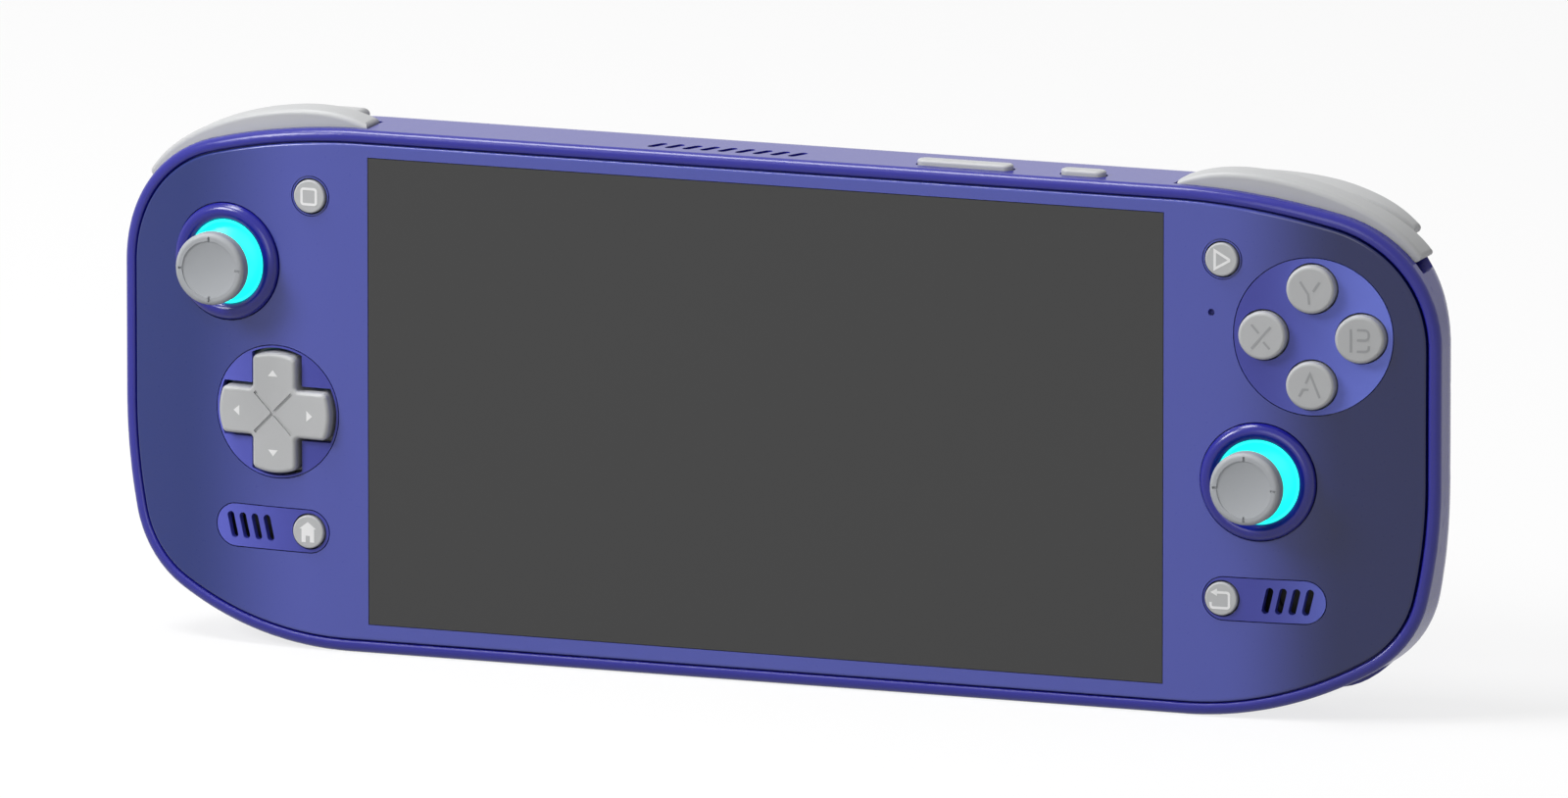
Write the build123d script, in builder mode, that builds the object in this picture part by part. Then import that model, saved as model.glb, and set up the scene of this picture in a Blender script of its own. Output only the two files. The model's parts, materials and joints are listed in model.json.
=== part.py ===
from build123d import *
from math import asin, cos, degrees, radians, sin, sqrt
import os

os.makedirs("parts", exist_ok=True)

# A handheld game console, as separate pieces, in millimetres.
# X runs to the right, Y into the screen and Z up. It stands on its lower edge.
# The origin is the middle of its footprint, on the surface that it stands on.
# Depths are counted from the flat middle of the face, back into the body.

# Driving sizes of the body
screen_width = 121.8
screen_height = 68.5
half_body = 100.9
lower_rise = 38.65
upper_rise = 38.2
body_depth = 16.0
grip_depth = 21.4
stick_proud = 5.7

# Corners of the outline, each three arcs that run into one another
lower_corner_width = 36.7
lower_corner_height = 34.6
lower_corner_radius = 16.1
lower_corner_turns = (30, 78)
upper_corner_width = 38.6
upper_corner_height = 22.4
upper_corner_radius = 19.4
upper_corner_turns = (15.3, 67.7)

# The face is flat in the middle and curves back at both ends
flat_half = 65.0
face_radius = 117.0

# Panel, frame and rear cover
panel_thick = 1.2
seam_depth = 2.2
bead_width = 1.8
bead_outer_round = 1.1
bead_inner_round = 0.5
panel_round = 0.4
seam_gap = 0.15
wall = 1.8
end_wall_depth = 8.6
end_round_depth = 13.0
end_round_run = 5.4
end_round_start = 12.9
end_overhang = 0.6
back_round = 4.5
inner_back_round = 1.5
overrun = 1.0
fit_gap = 0.3
part_gap = 0.1
run_gap = 0.05

# Grips, a soft dome on each end of the back: depths and half sizes of its rings
grip_x = 83.4
grip_z = -7.0
grip_half_width = 16.9
grip_half_height = 28.0
grip_level_shares = (0.44, 0.62, 0.80, 0.93, 1.0)
grip_ring_shares = (1.0, 0.97, 0.84, 0.62, 0.40)
grip_edge_round = 1.6

# Bumpers and triggers, in a pocket at each upper corner
pocket_inset = 4.2
pocket_wall = 1.0
pocket_start = 61.6
pocket_floor = 26.6
trigger_pocket_start = 66.9
knuckle_pocket_end = 76.0
knuckle_pocket_floor = 32.4
bumper_start = 62.1
bumper_floor = 28.2
bumper_inset = 2.4
bumper_back = 7.8
bumper_round = 0.8
bumper_start_proud = 0.5
bumper_proud = 2.7
shoulder_turns = (4, 8, 15, 30, 45, 60)
bumper_proud_shares = (0.85, 1.0, 0.74, 0.54, 0.48, 0.34)
trigger_proud_shares = (0.0, 0.35, 0.5, 0.42, 0.3, 0.15)
bumper_pin_radius = 0.6
bumper_pin_x = 64.6
bumper_pin_drop = 1.0
pin_seat = 0.8
trigger_start = 67.4
trigger_front = 9.0
trigger_back = 17.6
trigger_back_end = 15.6
trigger_back_bend = 82.0
trigger_floor = 30.6
trigger_pocket_floor = 29.4
trigger_inset = 2.4
trigger_start_proud = 0.1
trigger_round = 1.0
trigger_slope = 8
trigger_pin_radius = 0.8
trigger_pin_depth = 12.6
trigger_pin_drop = 2.3
trigger_pin_length = 12.0
knuckle_radius = 1.7
knuckle_lug_place = 8.6
knuckle_lug_width = 1.2

# Sticks
left_stick_x = -83.4
left_stick_z = 17.45
right_stick_x = 75.2
right_stick_z = -4.0
collar_radius = 8.55
collar_bore = 6.2
collar_crest = 1.0
collar_lip = 0.3
collar_foot = 1.1
light_bore = 5.75
light_drop = 0.15
light_gap = 0.05
light_thick = 0.9
stick_pivot = 10.0
dome_radius = 9.1
dome_thick = 0.8
dome_reach = 54
cap_radius = 5.3
cap_height = 2.4
cap_round = 0.7
cap_dish = 0.35
cap_rim = 0.45
cap_step = 0.15
cap_tick_width = 0.35
cap_tick_length = 0.8
cap_tick_depth = 0.3
neck_radius = 2.2
neck_flange = 3.0
neck_flange_thick = 0.8
shaft_radius = 1.4
shaft_top = 1.6
shaft_tip_gap = 0.7
hub_radius = 2.2
gimbal_radius = 4.9
gimbal_bore = 3.2
gimbal_thick = 2.4
gimbal_pin = 0.8
shaft_pin = 0.7
base_size = 13.0
base_wall = 1.2
base_front = 8.0
base_back = 13.4
base_floor = 1.0
base_flange_width = 17.0
base_flange_height = 8.0
base_round = 0.8

# Direction pad
dpad_x = -75.3
dpad_z = -4.0
dpad_plate_radius = 9.7
dpad_reach = 8.85
dpad_arm = 6.9
dpad_play = 0.55
dpad_proud = 1.3
dpad_flange = 9.2
dpad_flange_depth = 3.1
dpad_flange_thick = 0.8
dpad_stem = 3.0
dpad_socket_reach = 0.6
dpad_ball = 2.1
dpad_inner_round = 0.6
dpad_edge_round = 0.6
dpad_end_round = 0.9
dpad_groove = 0.5
dpad_groove_depth = 0.3
dpad_groove_length = 8.4

# Round buttons
cluster_x = 83.0
cluster_z = 17.45
cluster_radius = 11.4
cluster_spread = 7.0
action_radius = 3.5
action_proud = 1.15
action_round = 0.5
small_radius = 2.42
small_proud = 0.5
small_round = 0.25
small_ring = 2.84
small_ring_width = 0.16
small_ring_depth = 0.4
button_play = 0.25
button_flange = 0.7
button_flange_thick = 0.8
button_travel = 0.7
button_stem = 1.3
capture_x = -69.9
start_x = 69.8
upper_key_z = 28.1
home_x = -70.2
back_x = 69.9
lower_key_z = -21.25
mic_x = 68.2
mic_z = 20.3
mic_radius = 0.5

# Speaker plates, long rounded plates with slots
pill_length = 18.0
pill_width = 6.2
pill_x = 76.1
slot_count = 4
slot_pitch = 1.96
slot_length = 3.9
slot_width = 1.1
slot_lean = 13
slot_offset = 3.5
speaker_length = 12.0
speaker_height = 8.0
speaker_front = 5.0

# Contact sheets and key boards
sheet_front = 8.3
sheet_thick = 0.8
board_thick = 1.0
key_board_inner = 61.8
key_board_outer = 95.0
key_board_lower = 32.5
key_board_upper = 25.8
key_board_inset = 8.4
post_radius = 1.5
post_places = ((66.0, 12.0), (90.0, -12.5), (66.2, -29.5))

# Display, main board and what it carries
display_margin = 1.3
display_thick = 2.0
main_front = 5.0
main_width = 112.0
main_gap = 0.5
main_upper_posts = (-50.0, 14.0)
main_lower_posts = (-50.0, 0.0, 50.0)
main_post_inset = 1.6
main_post_radius = 1.3
main_notch_left = 19.0
main_notch_right = 54.0
main_notch_drop = 6.0
chip_size = 14.0
chip_thick = 1.2
battery_width = 96.0
battery_height = 18.0
battery_thick = 6.0
battery_z = -15.5
battery_round = 1.5
fan_x = -7.2
fan_z = 11.5
fan_size = 35.0
fan_thick = 6.2
fan_wall = 0.8
fan_cavity = 16.0
fan_inlet = 12.0
rotor_radius = 15.2
rotor_hub = 8.0
rotor_axle = 1.2
rotor_thick = 4.0
blade_count = 11
blade_thick = 0.8
blade_lean = 28
sink_height = 5.4
fin_count = 10
fin_thick = 0.7

# Ports in the lower edge
usb_x = 0.0
usb_width = 8.94
usb_height = 3.2
usb_shell = 0.3
usb_length = 7.3
tongue_width = 6.7
tongue_thick = 0.7
tongue_length = 4.5
jack_x = -30.0
jack_body = 5.6
jack_length = 12.0
jack_bore = 1.8
card_x = 28.0
card_width = 13.0
card_thick = 2.2
card_length = 13.5
card_slot_width = 11.4
card_slot_thick = 1.0
port_recess = 0.4
port_gap = 0.25

# Controls and vent in the upper edge
rocker_left = 22.1
rocker_right = 36.6
power_left = 44.0
power_right = 50.7
top_key_front = 2.9
top_key_width = 2.5
top_key_proud = 0.8
top_key_gap = 0.25
top_key_flange = 0.9
top_key_flange_thick = 0.8
top_key_round = 0.4
rocker_pin_drop = 4.2
rocker_drop = 0.7
rocker_pin_radius = 0.8
rocker_pin_length = 1.6
rocker_lug_width = 4.0
rocker_lug_thick = 1.3
power_travel = 0.4
vent_count = 9
vent_pitch = 2.69
vent_middle = -7.2
vent_width = 1.3
vent_length = 3.6
vent_lean = 24
vent_depth = 4.5

# Air inlet in the back
inlet_rows = 7
inlet_pitch = 3.4
inlet_width = 1.5
inlet_radius = 13.0

# Screws through the back
screw_places = ((63.6, 27.0), (63.6, 3.0), (63.6, -31.0))
screw_post = 2.0
screw_post_end = 10.5
screw_tip = 6.0
screw_radius = 0.9
screw_head = 1.8
screw_head_thick = 1.2
screw_recess = 0.3
screw_boss = 2.7
screw_drive = 0.45

# Worked out from the sizes above
face_y = (stick_proud - grip_depth) / 2
screen_z = lower_rise
body_height = lower_rise + upper_rise
board_front = sheet_front + sheet_thick
board_back = board_front + board_thick
floor_depth = body_depth - wall
main_back = main_front + board_thick
far = grip_depth + overrun


def drop(x):
    """How far the face has curved back at a distance from the middle."""
    beyond = max(abs(x) - flat_half, 0)
    return face_radius - sqrt(face_radius**2 - beyond**2)


def lean(x):
    """Slope of the face there, in degrees."""
    return degrees(asin(max(abs(x) - flat_half, 0) / face_radius))


def face_plane(depth, x=0, z=0):
    """Plane square to the viewer, with its middle at a place on the screen's axes."""
    return Plane(origin=(x, face_y + depth, screen_z + z), x_dir=(1, 0, 0), z_dir=(0, -1, 0))


def skin_plane(x, z):
    """Plane that lies on the face where it curves back."""
    turn = radians(lean(x))
    side = 1 if x > 0 else -1
    normal = (side * sin(turn), -cos(turn), 0)
    return Plane(
        origin=(x, face_y + drop(x), screen_z + z),
        x_dir=(cos(turn), side * sin(turn), 0),
        z_dir=normal,
    )


def end_radii(width, height, middle, turns):
    """First and last radius of a corner whose middle radius and turns are given."""
    first, last = (radians(turn) for turn in turns)
    across = width - middle * (sin(last) - sin(first))
    down = height - middle * (cos(first) - cos(last))
    scale = sin(first) * cos(last) - (1 - sin(last)) * (1 - cos(first))
    start = (across * cos(last) - (1 - sin(last)) * down) / scale
    end = (sin(first) * down - (1 - cos(first)) * across) / scale
    return start, end


def corner_centres(edge, width, height, middle, turns):
    """Centres and radii of a corner's three arcs, on the right, measured upwards."""
    first, last = (radians(turn) for turn in turns)
    start, end = end_radii(width, height, middle, turns)
    one = (half_body - width, edge - start)
    two = (one[0] + (start - middle) * sin(first), one[1] + (start - middle) * cos(first))
    three = (two[0] + (middle - end) * sin(last), two[1] + (middle - end) * cos(last))
    return (one, start), (two, middle), (three, end)


upper_corner = (upper_rise, upper_corner_width, upper_corner_height, upper_corner_radius, upper_corner_turns)
lower_corner = (lower_rise, lower_corner_width, lower_corner_height, lower_corner_radius, lower_corner_turns)


def draw_corner(corner, up, inset):
    """Draws a corner's arcs, drawn in by an inset, and returns its two ends."""
    stops = (0, *corner[-1], 90)
    arcs = corner_centres(*corner)
    for (centre, radius), begin, end in zip(arcs, stops, stops[1:]):
        CenterArc((centre[0], up * centre[1]), radius - inset, up * (90 - begin), up * (begin - end))
    return arcs[0][0][0], up * arcs[2][0][1]


def outline(depth, inset):
    """The body's outline on a plane at a depth, drawn in by an inset."""
    with BuildSketch(face_plane(depth), mode=Mode.PRIVATE) as flat:
        with BuildLine():
            upper_x, upper_z = draw_corner(upper_corner, 1, inset)
            lower_x, lower_z = draw_corner(lower_corner, -1, inset)
            Line((0, upper_rise - inset), (upper_x, upper_rise - inset))
            Line((0, inset - lower_rise), (lower_x, inset - lower_rise))
            Line((half_body - inset, upper_z), (half_body - inset, lower_z))
            mirror(about=Plane.YZ)
        make_face()
    return flat.sketch


def skin_point(turn, under):
    """A point on the curved end of the face, or under it."""
    reach = face_radius - under
    return (flat_half + reach * sin(turn), face_y + face_radius - reach * cos(turn))


def face_plan(near, deep):
    """Seen from above, the space between two depths under the face."""
    turn = asin((half_body - flat_half + bumper_proud + overrun) / (face_radius - deep))
    with BuildSketch(Plane.XY, mode=Mode.PRIVATE) as plan:
        with BuildLine():
            Line((0, face_y + near), (flat_half, face_y + near))
            ThreePointArc(skin_point(0, near), skin_point(turn / 2, near), skin_point(turn, near))
            Line(skin_point(turn, near), skin_point(turn, deep))
            ThreePointArc(skin_point(turn, deep), skin_point(turn / 2, deep), skin_point(0, deep))
            Line((flat_half, face_y + deep), (0, face_y + deep))
            mirror(about=Plane.YZ)
        make_face()
    return plan.sketch


def curved_plate(near, deep, inset):
    """A plate that follows the face between two depths, inside an inset outline."""
    with BuildPart(mode=Mode.PRIVATE) as plate:
        extrude(face_plan(near, deep), amount=body_height)
        extrude(outline(near - overrun, inset), amount=-far - overrun, mode=Mode.INTERSECT)
    return plate.part


def curved_disc(near, deep, x, z, radius):
    """A round piece along Y whose ends follow the face."""
    with BuildPart(mode=Mode.PRIVATE) as disc:
        extrude(face_plan(near, deep), amount=body_height)
        with BuildSketch(face_plane(near - overrun, x, z)):
            Circle(radius)
        extrude(amount=-far, mode=Mode.INTERSECT)
    return disc.part


def rim_edges(edges, under=0):
    """Those of some edges that lie on the curved face, or at a depth under it."""
    found = ShapeList()
    for edge in edges:
        middle = edge.position_at(0.5)
        on_skin = abs(middle.Y - face_y - under - drop(middle.X)) < part_gap / 10
        fold = abs(abs(middle.X) - flat_half) < part_gap and abs(edge.tangent_at(0.5).Z) > cos(radians(1))
        if on_skin and not fold:
            found.append(edge)
    return found


def back_plan(near, skin):
    """Seen from above, the body behind a depth, thinned by a skin."""
    side = half_body - skin + end_overhang
    turn = asin((side - flat_half) / (face_radius - near))
    start = skin_point(turn, near)
    level = face_y + body_depth - skin
    with BuildSketch(Plane.XY, mode=Mode.PRIVATE) as plan:
        with BuildLine():
            Line((0, face_y + near), (flat_half, face_y + near))
            ThreePointArc(skin_point(0, near), skin_point(turn / 2, near), start)
            Line(start, (side, face_y + end_wall_depth))
            Bezier(
                (side, face_y + end_wall_depth),
                (side, face_y + end_round_depth - skin),
                (side - end_round_run, level),
                (side - end_round_start, level),
            )
            Line((side - end_round_start, level), (0, level))
            mirror(about=Plane.YZ)
        make_face()
    return plan.sketch


def rear_mass(near, skin, rounding):
    """The rear half of the body as one solid, thinned by a skin on every side."""
    with BuildPart(mode=Mode.PRIVATE) as mass:
        extrude(outline(0, skin), amount=-body_depth)
        extrude(back_plan(near, skin), amount=body_height, mode=Mode.INTERSECT)
        back_face = mass.faces().filter_by(Axis.Y).sort_by(Axis.Y)[-1]
        fillet([e for e in back_face.edges() if abs(e.tangent_at(0.5).Z) < cos(radians(1))], rounding)
        for side in (-1, 1):
            for level, ring in zip(grip_level_shares, grip_ring_shares):
                with BuildSketch(face_plane(grip_depth * level - skin * level, side * grip_x, grip_z)):
                    Ellipse(grip_half_width * ring - skin, grip_half_height * ring - skin)
            loft()
        tops = mass.faces().filter_by(Axis.Y).sort_by(Axis.Y)[-2:]
        fillet([e for top in tops for e in top.edges()], grip_edge_round)
    return mass.part


def save(part, name):
    """Labels a finished piece and writes it."""
    part.label = name
    export_step(part, f"parts/{name}.step")


def section(base):
    """Plane through a base plane's axis, for profiles that are turned about it."""
    return Plane(origin=base.origin, x_dir=base.x_dir, z_dir=base.x_dir.cross(base.z_dir))


def place(depth, x, z):
    """A point at a depth, on the screen's axes."""
    return (x, face_y + depth, screen_z + z)


def sided(form, side):
    """A form made for the right, or its mirror image for the left."""
    return form if side > 0 else mirror(form, about=Plane.YZ)


def corner_point(turn, proud):
    """A point outside the upper right corner, where its outline faces a turn from upright."""
    for (centre, radius), stop in zip(corner_centres(*upper_corner), (*upper_corner_turns, 90)):
        if turn <= stop:
            break
    reach = radius + proud
    return (centre[0] + reach * sin(radians(turn)), centre[1] + reach * cos(radians(turn)))


def shoulder_room(start, floor, inset, deep):
    """Room between the outline's inset and the outside of the right upper corner."""
    with BuildPart(mode=Mode.PRIVATE) as room:
        extrude(face_plan(-overrun, deep), amount=body_height + 2 * bumper_proud)
        with BuildSketch(face_plane(-2 * overrun)):
            with Locations((start, floor)):
                Rectangle(half_body, upper_rise, align=(Align.MIN, Align.MIN))
        extrude(amount=-far - 4 * overrun, mode=Mode.INTERSECT)
        extrude(outline(-2 * overrun, inset), amount=-far - 5 * overrun, mode=Mode.SUBTRACT)
    return room.part


def shoulder_pocket(skin):
    """The pocket for the right bumper and trigger, grown by a skin all round."""
    inset = pocket_inset + skin
    bumper_room = shoulder_room(pocket_start - skin, pocket_floor - skin, inset, bumper_back + fit_gap + skin)
    trigger_room = shoulder_room(trigger_pocket_start - skin, trigger_pocket_floor - skin, inset, far)
    with BuildPart(mode=Mode.PRIVATE) as room:
        add(bumper_room)
        add(trigger_room)
        with BuildSketch(face_plane(bumper_back + fit_gap)):
            with Locations((trigger_pocket_start - skin, knuckle_pocket_floor - skin)):
                Rectangle(
                    knuckle_pocket_end - trigger_pocket_start + 2 * skin,
                    upper_rise - knuckle_pocket_floor,
                    align=(Align.MIN, Align.MIN),
                )
        extrude(amount=bumper_back + fit_gap - far)
    return room.part


def shoulder_form(start, floor, inset, proud_shares, start_proud):
    """A bar that stands proud of the right upper corner, through the whole depth."""
    points = [(start, upper_rise + start_proud)]
    for turn, share in zip(shoulder_turns, proud_shares):
        point = corner_point(turn, bumper_proud * share)
        if point[0] > start + bumper_proud:
            points.append(point)
    with BuildPart(mode=Mode.PRIVATE) as form:
        with BuildSketch(face_plane(0)):
            with BuildLine():
                Spline(*points)
                Polyline(points[-1], (start, points[-1][1]), points[0])
            make_face()
            with Locations((start, floor)):
                Rectangle(half_body, upper_rise, align=(Align.CENTER, Align.MIN), mode=Mode.INTERSECT)
        extrude(amount=-far)
        extrude(outline(-overrun, inset), amount=-far - 2 * overrun, mode=Mode.SUBTRACT)
    return form.part


def key_bar(left, right, inner, outer):
    """A bar along the upper edge, from a depth under it to a height over it."""
    with BuildPart(mode=Mode.PRIVATE) as bar:
        with BuildSketch(Plane.XY.offset(body_height - inner)):
            with Locations(((left + right) / 2, face_y + top_key_front + top_key_width / 2)):
                SlotOverall(right - left, top_key_width)
        extrude(amount=inner + outer)
    return bar.part


stick_places = {"left": (left_stick_x, left_stick_z), "right": (right_stick_x, right_stick_z)}
small_keys = {
    "capture_button": (capture_x, upper_key_z),
    "start_button": (start_x, upper_key_z),
    "home_button": (home_x, lower_key_z),
    "back_button": (back_x, lower_key_z),
}
action_keys = {
    "button_y": (cluster_x, cluster_z + cluster_spread),
    "button_a": (cluster_x, cluster_z - cluster_spread),
    "button_x": (cluster_x - cluster_spread, cluster_z),
    "button_b": (cluster_x + cluster_spread, cluster_z),
}
screw_spots = [(side * x, z) for side in (-1, 1) for x, z in screw_places]
post_spots = [(side * x, z) for side in (-1, 1) for x, z in post_places]
main_upper = upper_rise - wall - main_gap
main_lower = wall + main_gap - lower_rise
main_post_spots = [(x, main_upper - main_post_inset) for x in main_upper_posts]
main_post_spots += [(x, main_lower + main_post_inset) for x in main_lower_posts]
slot_middle = pill_x + slot_offset
web_middle = (panel_thick + seam_depth) / 2
rocker_middle = (rocker_left + rocker_right) / 2
power_middle = (power_left + power_right) / 2
rocker_pin_z = upper_rise - rocker_pin_drop
top_key_back = top_key_front + top_key_width
top_key_middle = top_key_front + top_key_width / 2
top_stem_front = panel_thick + display_thick + fit_gap
jack_depth = main_back + jack_body / 2
usb_depth = main_back + usb_height / 2
card_depth = main_back + card_thick / 2
port_mouth = port_recess - lower_rise
trigger_turn = radians(trigger_slope)
trigger_axis = Plane(
    origin=place(trigger_pin_depth, trigger_pocket_start, upper_rise - trigger_pin_drop),
    x_dir=(0, 1, 0),
    z_dir=(cos(trigger_turn), 0, -sin(trigger_turn)),
)

pockets = {side: sided(shoulder_pocket(0), side) for side in (-1, 1)}
pocket_walls = {side: sided(shoulder_pocket(pocket_wall), side) for side in (-1, 1)}
outer_mass = rear_mass(seam_depth, 0, back_round)
inner_mass = rear_mass(seam_depth - overrun, wall, inner_back_round)

# The lug that carries the outer end of a trigger's pin
with BuildPart(mode=Mode.PRIVATE) as right_lug:
    with BuildSketch(trigger_axis.offset(knuckle_lug_place)):
        Circle(knuckle_radius)
        Rectangle(2 * knuckle_radius, 2 * knuckle_radius, align=(Align.CENTER, Align.MAX))
    extrude(amount=knuckle_lug_width)

# What the trigger's pin needs free: its bore in the wall and in the lug
with BuildPart(mode=Mode.PRIVATE) as right_bore:
    with BuildSketch(trigger_axis.offset(-pin_seat - part_gap)):
        Circle(trigger_pin_radius + run_gap)
    extrude(amount=trigger_pin_length + part_gap)

# Rear cover: the outer form less the inner one, with the shoulder pockets walled off
with BuildPart(mode=Mode.PRIVATE) as cavity:
    add(inner_mass)
    for side in pocket_walls:
        add(pocket_walls[side], mode=Mode.SUBTRACT)

with BuildPart() as rear_cover:
    add(outer_mass)
    add(cavity.part, mode=Mode.SUBTRACT)
    for side in pockets:
        add(pockets[side], mode=Mode.SUBTRACT)
        add(sided(right_lug.part, side))
        add(sided(right_bore.part, side), mode=Mode.SUBTRACT)
        with BuildSketch(face_plane(bumper_back, side * bumper_pin_x, upper_rise - bumper_pin_drop)):
            Circle(bumper_pin_radius + run_gap)
        extrude(amount=-fit_gap - pocket_wall - part_gap, mode=Mode.SUBTRACT)
    # Slanted vent slots in the top
    with BuildSketch(Plane.XY.offset(body_height + overrun)):
        with Locations((vent_middle, face_y + vent_depth)):
            with GridLocations(vent_pitch, 0, vent_count, 1):
                SlotOverall(vent_length, vent_width, rotation=90 - vent_lean)
    extrude(amount=-wall - 2 * overrun, mode=Mode.SUBTRACT)
    # Openings for the volume rocker and the power button
    for left, right in ((rocker_left, rocker_right), (power_left, power_right)):
        with BuildSketch(Plane.XY.offset(body_height + overrun)):
            with Locations(((left + right) / 2, face_y + top_key_middle)):
                SlotOverall(right - left + 2 * top_key_gap, top_key_width + 2 * top_key_gap)
        extrude(amount=-wall - 2 * overrun, mode=Mode.SUBTRACT)
    # A lug for the rocker's pin
    with BuildSketch(face_plane(top_key_back + fit_gap, rocker_middle, rocker_pin_z)):
        Circle(rocker_lug_width / 2)
        Rectangle(rocker_lug_width, rocker_pin_drop - wall / 2, align=(Align.CENTER, Align.MIN))
        Circle(rocker_pin_radius + run_gap, mode=Mode.SUBTRACT)
    extrude(amount=-rocker_lug_thick)
    # Ports in the lower wall
    with BuildSketch(Plane.XY.offset(-overrun)):
        with Locations((usb_x, face_y + usb_depth)):
            SlotOverall(usb_width + 2 * port_gap, usb_height + 2 * port_gap)
        with Locations((jack_x, face_y + jack_depth)):
            Circle(jack_body / 2 + port_gap)
        with Locations((card_x, face_y + card_depth)):
            Rectangle(card_slot_width + 2 * port_gap, card_slot_thick + 2 * port_gap)
    extrude(amount=wall + 2 * overrun, mode=Mode.SUBTRACT)
    # Air inlet, rows of slots inside a circle
    with BuildSketch(face_plane(body_depth + overrun, fan_x, fan_z)):
        for row in range(inlet_rows):
            height = (row - (inlet_rows - 1) / 2) * inlet_pitch
            with Locations((0, height)):
                SlotOverall(2 * sqrt(inlet_radius**2 - height**2), inlet_width)
    extrude(amount=wall + 2 * overrun, mode=Mode.SUBTRACT)
    # Screw bosses and their counterbored holes
    with BuildSketch(face_plane(screw_post_end + part_gap)):
        with Locations(*screw_spots):
            Circle(screw_boss)
    extrude(amount=screw_post_end + part_gap - floor_depth - wall / 2)
    with BuildSketch(face_plane(body_depth + overrun)):
        with Locations(*screw_spots):
            Circle(screw_head + part_gap)
    extrude(amount=overrun + screw_head_thick + screw_recess, mode=Mode.SUBTRACT)
    with BuildSketch(face_plane(body_depth + overrun)):
        with Locations(*screw_spots):
            Circle(screw_radius + run_gap)
    extrude(amount=far, mode=Mode.SUBTRACT)
save(rear_cover.part, "rear_cover")

# Front frame: the bead round the face, the web behind the panel and its posts
with BuildPart() as front_frame:
    add(curved_plate(0, seam_depth, 0))
    fillet(rim_edges(front_frame.edges()), bead_outer_round)
    extrude(outline(-overrun, bead_width), amount=-far, mode=Mode.SUBTRACT)
    fillet(rim_edges(front_frame.edges(Select.LAST)), bead_inner_round)
    add(curved_plate(panel_thick, seam_depth, bead_width))
    with BuildSketch(face_plane(-overrun)):
        Rectangle(
            screen_width - 2 * display_margin + 2 * part_gap,
            screen_height - 2 * display_margin + 2 * part_gap,
        )
        with Locations((dpad_x, dpad_z)):
            Circle(dpad_reach + dpad_play)
        with Locations(*action_keys.values()):
            Circle(action_radius + button_play)
        with Locations(*small_keys.values()):
            Circle(small_radius + button_play)
        for side in (-1, 1):
            with Locations((side * slot_middle, lower_key_z)):
                Rectangle(slot_count * slot_pitch, slot_length)
    extrude(amount=-far, mode=Mode.SUBTRACT)
    for x, z in stick_places.values():
        with BuildSketch(skin_plane(x, z)):
            Circle(collar_radius - collar_foot)
        extrude(amount=-stick_pivot, mode=Mode.SUBTRACT)
        with Locations(place(stick_pivot, x, z)):
            Sphere(dome_radius + fit_gap, mode=Mode.SUBTRACT)
    # Posts for the key boards and the main board
    for x, z in post_spots:
        with BuildSketch(face_plane(board_front, x, z)):
            Circle(post_radius)
        extrude(amount=board_front - drop(x) - web_middle)
    with BuildSketch(face_plane(main_front)):
        with Locations(*main_post_spots):
            Circle(main_post_radius)
    extrude(amount=main_front - web_middle)
    # Posts that take the case screws
    with BuildSketch(face_plane(screw_post_end)):
        with Locations(*screw_spots):
            Circle(screw_post)
    extrude(amount=screw_post_end - web_middle)
    with BuildSketch(face_plane(screw_post_end)):
        with Locations(*screw_spots):
            Circle(screw_radius + run_gap)
    extrude(amount=screw_post_end - screw_tip + part_gap, mode=Mode.SUBTRACT)
    # Blind holes that take the front ends of the bumper pins
    for side in (-1, 1):
        with BuildSketch(face_plane(seam_depth, side * bumper_pin_x, upper_rise - bumper_pin_drop)):
            Circle(bumper_pin_radius + run_gap)
        extrude(amount=pin_seat + part_gap, mode=Mode.SUBTRACT)
save(front_frame.part, "front_frame")

# Front panel: a thin curved plate with an opening for every control
with BuildPart() as front_panel:
    add(curved_plate(0, panel_thick, bead_width + seam_gap))
    fillet(rim_edges(front_panel.edges()), panel_round)
    with BuildSketch(face_plane(-overrun)):
        Rectangle(screen_width + 2 * part_gap, screen_height + 2 * part_gap)
        with Locations((dpad_x, dpad_z)):
            Circle(dpad_plate_radius + seam_gap)
        with Locations((cluster_x, cluster_z)):
            Circle(cluster_radius + seam_gap)
        with Locations((capture_x, upper_key_z), (start_x, upper_key_z)):
            Circle(small_radius + button_play)
        with Locations((mic_x, mic_z)):
            Circle(mic_radius)
        for side in (-1, 1):
            with Locations((side * pill_x, lower_key_z)):
                SlotOverall(pill_length + 2 * seam_gap, pill_width + 2 * seam_gap)
    extrude(amount=-far, mode=Mode.SUBTRACT)
    for x, z in stick_places.values():
        with BuildSketch(skin_plane(x, z)):
            Circle(collar_radius + seam_gap)
        extrude(amount=stick_pivot, both=True, mode=Mode.SUBTRACT)
    # A thin groove round each of the two upper buttons
    for x in (capture_x, start_x):
        with BuildSketch(skin_plane(x, upper_key_z)):
            Circle(small_ring + small_ring_width)
            Circle(small_ring, mode=Mode.SUBTRACT)
        extrude(amount=small_ring_depth, both=True, mode=Mode.SUBTRACT)
save(front_panel.part, "front_panel")

with BuildPart() as display_glass:
    with BuildSketch(face_plane(0)):
        Rectangle(screen_width, screen_height)
    extrude(amount=-panel_thick)
save(display_glass.part, "display_glass")

with BuildPart() as display_module:
    with BuildSketch(face_plane(panel_thick)):
        Rectangle(screen_width - 2 * display_margin, screen_height - 2 * display_margin)
    extrude(amount=-display_thick)
save(display_module.part, "display_module")

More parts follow.
